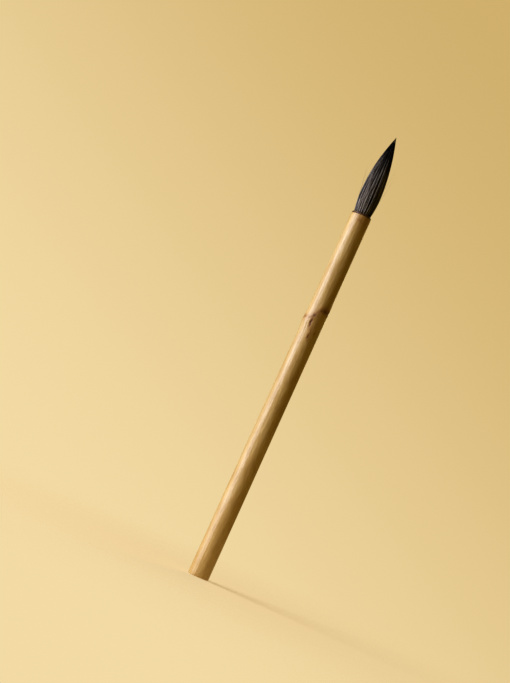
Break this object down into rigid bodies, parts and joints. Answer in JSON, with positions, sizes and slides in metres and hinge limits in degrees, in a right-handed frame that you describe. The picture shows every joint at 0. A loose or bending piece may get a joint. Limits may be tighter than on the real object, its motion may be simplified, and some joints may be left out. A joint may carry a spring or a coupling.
{
  "type": "bamboo ink brush",
  "caption": "Round pointed ink brush: a natural bamboo handle with a slanted node and a full tuft of dark hair drawn to a fine point.",
  "frame": {"origin": "centre of the flat butt face, the end of the handle away from the hair", "axes": "+Z along the brush from the butt to the point, +X the way the tuft bends at a positive joint value, +Y completes the frame"},
  "size_m": [0.0106, 0.0106, 0.232],
  "materials": {
    "bamboo": "smooth natural bamboo skin, satin gloss",
    "plug_wood": "cut end grain, dull",
    "lacquer": "thin brown lacquer, glossy",
    "glue": "cured amber glue, clear gloss",
    "resin": "fused dark resin",
    "thread": "twisted natural thread, dull",
    "outer_hair": "dark animal hair, silky",
    "inner_hair": "dark animal hair, matte"
  },
  "bodies": {
    "handle": {"bamboo_handle": "bamboo", "butt_plug": "plug_wood", "mouth_bead": "lacquer", "socket_glue": "glue", "root_seal": "resin", "mantle_root": "outer_hair", "root_tie": "thread", "core_root": "inner_hair", "core_tie": "thread"},
    "tuft": {"point_hairs": "inner_hair", "core_lock_01": "inner_hair", "core_lock_02": "inner_hair", "core_lock_03": "inner_hair", "core_lock_04": "inner_hair", "core_lock_05": "inner_hair", "core_lock_06": "inner_hair", "belly_lock_01": "inner_hair", "belly_lock_02": "inner_hair", "belly_lock_03": "inner_hair", "belly_lock_04": "inner_hair", "belly_lock_05": "inner_hair", "belly_lock_06": "inner_hair", "belly_lock_07": "inner_hair", "belly_lock_08": "inner_hair", "mantle_lock_01": "outer_hair", "mantle_lock_02": "outer_hair", "mantle_lock_03": "outer_hair", "mantle_lock_04": "outer_hair", "mantle_lock_05": "outer_hair", "mantle_lock_06": "outer_hair", "mantle_lock_07": "outer_hair", "mantle_lock_08": "outer_hair", "mantle_lock_09": "outer_hair", "mantle_lock_10": "outer_hair", "mantle_lock_11": "outer_hair", "mantle_lock_12": "outer_hair"}
  },
  "joints": [
    {"name": "tuft_bend", "type": "hinge", "parent": "handle", "child": "tuft", "pos_m": [0, 0, 0.19], "axis": [0, 1, 0], "range_deg": [-40, 40], "stiffness_Nm_per_rad": 0.012, "deforming": ["point_hairs", "core_lock_01", "core_lock_02", "core_lock_03", "core_lock_04", "core_lock_05", "core_lock_06", "belly_lock_01", "belly_lock_02", "belly_lock_03", "belly_lock_04", "belly_lock_05", "belly_lock_06", "belly_lock_07", "belly_lock_08", "mantle_lock_01", "mantle_lock_02", "mantle_lock_03", "mantle_lock_04", "mantle_lock_05", "mantle_lock_06", "mantle_lock_07", "mantle_lock_08", "mantle_lock_09", "mantle_lock_10", "mantle_lock_11", "mantle_lock_12"]}
  ]
}
